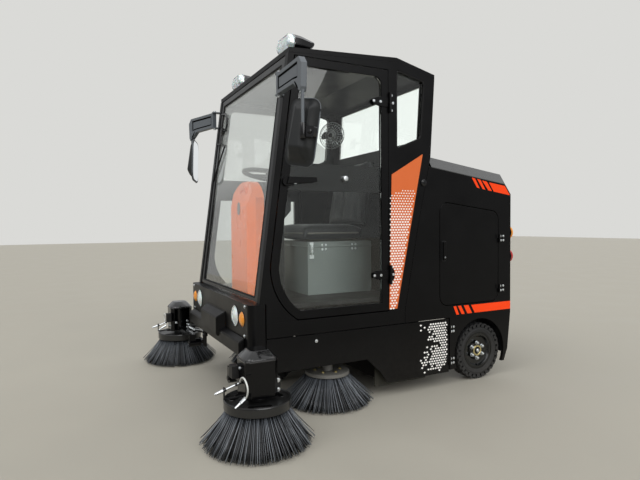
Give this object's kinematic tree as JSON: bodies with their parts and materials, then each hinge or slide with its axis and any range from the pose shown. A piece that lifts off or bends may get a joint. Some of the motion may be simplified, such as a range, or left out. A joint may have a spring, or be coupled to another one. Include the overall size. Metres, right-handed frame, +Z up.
{
  "type": "compact road sweeper",
  "caption": "Compact ride-on road sweeper with a glazed cab, round side brushes on lifting arms, a main roller brush, hinged doors, hatches and skirts, and a steered front wheel.",
  "frame": {"origin": "on the ground below the middle of the whole machine's box", "axes": "+X to the driver's left, +Y to the rear, +Z up"},
  "size_m": [2.21, 2.168, 2.043],
  "materials": {
    "body_paint": "satin black powder coat",
    "frame_paint": "satin black frame paint",
    "orange_paint": "gloss orange",
    "grey_paint": "smooth grey",
    "glass": "clear toughened glass",
    "clear_lens": "clear faceted lens",
    "amber_lens": "amber lens",
    "red_lens": "red lens",
    "tyre": "black rubber",
    "rim_paint": "black wheel paint",
    "bristle": "black nylon bristles",
    "plate_plastic": "dark grey moulded plastic",
    "rubber": "dark rubber sheet",
    "vinyl": "black seat vinyl",
    "black_plastic": "black moulded plastic",
    "orange_cover": "orange moulded cover",
    "battery_case": "battery case"
  },
  "bodies": {
    "root": {"chassis_frame": "frame_paint", "rear_axle": "frame_paint", "front_panel": "body_paint", "front_bumper": "body_paint", "head_lamps": "clear_lens", "indicator_lamps": "amber_lens", "tail_lamps": "red_lens", "cab_side_left": "body_paint", "cab_side_right": "body_paint", "cab_roof": "body_paint", "cab_rear_wall": "body_paint", "windscreen": "glass", "fixed_windows": "glass", "quarter_panels": "orange_paint", "cab_floor": "frame_paint", "side_sills": "body_paint", "rear_side_left": "body_paint", "rear_side_right": "body_paint", "rear_top_cover": "body_paint", "rear_panel": "body_paint", "battery_pack": "battery_case", "brush_housing": "frame_paint", "brush_flaps": "rubber", "seat_box": "grey_paint", "seat": "vinyl", "steering_column": "orange_cover", "steering_console": "black_plastic", "steering_wheel": "black_plastic", "roof_lights": "clear_lens", "mirror_arms": "black_plastic", "mirror_heads": "black_plastic"},
    "steer_fork": {"steering_fork": "frame_paint"},
    "front_wheel": {"front_tyre": "tyre", "front_rim": "rim_paint"},
    "main_roller": {"main_brush": "bristle"},
    "rear_wheel_left": {"rear_tyre_left": "tyre", "rear_rim_left": "rim_paint"},
    "front_lift_left": {"front_arm_left": "body_paint"},
    "front_brush_left": {"front_brush_plate_left": "plate_plastic", "front_bristles_left": "bristle"},
    "mid_lift_left": {"mid_arm_left": "frame_paint"},
    "mid_brush_left": {"mid_brush_plate_left": "plate_plastic", "mid_bristles_left": "bristle"},
    "cab_door_left": {"door_left": "body_paint", "door_glass_left": "glass"},
    "rear_hatch_left": {"hatch_left": "body_paint"},
    "lower_skirt_left": {"skirt_left": "body_paint"},
    "rear_wheel_right": {"rear_tyre_right": "tyre", "rear_rim_right": "rim_paint"},
    "front_lift_right": {"front_arm_right": "body_paint"},
    "front_brush_right": {"front_brush_plate_right": "plate_plastic", "front_bristles_right": "bristle"},
    "mid_lift_right": {"mid_arm_right": "frame_paint"},
    "mid_brush_right": {"mid_brush_plate_right": "plate_plastic", "mid_bristles_right": "bristle"},
    "cab_door_right": {"door_right": "body_paint", "door_glass_right": "glass"},
    "rear_hatch_right": {"hatch_right": "body_paint"},
    "lower_skirt_right": {"skirt_right": "body_paint"}
  },
  "joints": [
    {"name": "steer", "type": "hinge", "parent": "root", "child": "steer_fork", "pos_m": [0, -0.421, 0.43], "axis": [0, 0, 1], "range_deg": [-60, 60]},
    {"name": "front_wheel_spin", "type": "hinge", "parent": "steer_fork", "child": "front_wheel", "pos_m": [0, -0.421, 0.181], "axis": [1, 0, 0], "continuous": true},
    {"name": "main_roller_spin", "type": "hinge", "parent": "root", "child": "main_roller", "pos_m": [0, 0.299, 0.142], "axis": [1, 0, 0], "continuous": true},
    {"name": "rear_wheel_left_spin", "type": "hinge", "parent": "root", "child": "rear_wheel_left", "pos_m": [0.553, 0.785, 0.181], "axis": [1, 0, 0], "continuous": true},
    {"name": "front_lift_left_hinge", "type": "hinge", "parent": "root", "child": "front_lift_left", "pos_m": [0.45, -0.814, 0.2], "axis": [0, -1, 0], "range_deg": [0, 10]},
    {"name": "front_brush_left_spin", "type": "hinge", "parent": "front_lift_left", "child": "front_brush_left", "pos_m": [0.835, -0.814, 0.19], "axis": [0, 0, 1], "continuous": true},
    {"name": "mid_lift_left_hinge", "type": "hinge", "parent": "root", "child": "mid_lift_left", "pos_m": [0.15, -0.2645, 0.32], "axis": [0, -1, 0], "range_deg": [0, 5]},
    {"name": "mid_brush_left_spin", "type": "hinge", "parent": "mid_lift_left", "child": "mid_brush_left", "pos_m": [0.489, -0.2645, 0.17], "axis": [0, 0, 1], "continuous": true},
    {"name": "cab_door_left_hinge", "type": "hinge", "parent": "root", "child": "cab_door_left", "pos_m": [0.628, 0.081, 1.2045], "axis": [0, 0, 1], "range_deg": [0, 75]},
    {"name": "rear_hatch_left_hinge", "type": "hinge", "parent": "root", "child": "rear_hatch_left", "pos_m": [0.619, 0.951, 0.742], "axis": [0, 0, 1], "range_deg": [0, 100]},
    {"name": "lower_skirt_left_hinge", "type": "hinge", "parent": "root", "child": "lower_skirt_left", "pos_m": [0.619, 0.531, 0.2485], "axis": [0, 0, 1], "range_deg": [0, 90]},
    {"name": "rear_wheel_right_spin", "type": "hinge", "parent": "root", "child": "rear_wheel_right", "pos_m": [-0.553, 0.785, 0.181], "axis": [1, 0, 0], "continuous": true},
    {"name": "front_lift_right_hinge", "type": "hinge", "parent": "root", "child": "front_lift_right", "pos_m": [-0.45, -0.814, 0.2], "axis": [0, 1, 0], "range_deg": [0, 10]},
    {"name": "front_brush_right_spin", "type": "hinge", "parent": "front_lift_right", "child": "front_brush_right", "pos_m": [-0.835, -0.814, 0.19], "axis": [0, 0, 1], "continuous": true},
    {"name": "mid_lift_right_hinge", "type": "hinge", "parent": "root", "child": "mid_lift_right", "pos_m": [-0.15, -0.2645, 0.32], "axis": [0, 1, 0], "range_deg": [0, 5]},
    {"name": "mid_brush_right_spin", "type": "hinge", "parent": "mid_lift_right", "child": "mid_brush_right", "pos_m": [-0.489, -0.2645, 0.17], "axis": [0, 0, 1], "continuous": true},
    {"name": "cab_door_right_hinge", "type": "hinge", "parent": "root", "child": "cab_door_right", "pos_m": [-0.628, 0.081, 1.2045], "axis": [0, 0, -1], "range_deg": [0, 75]},
    {"name": "rear_hatch_right_hinge", "type": "hinge", "parent": "root", "child": "rear_hatch_right", "pos_m": [-0.619, 0.951, 0.742], "axis": [0, 0, -1], "range_deg": [0, 100]},
    {"name": "lower_skirt_right_hinge", "type": "hinge", "parent": "root", "child": "lower_skirt_right", "pos_m": [-0.619, 0.531, 0.2485], "axis": [0, 0, -1], "range_deg": [0, 90]}
  ]
}
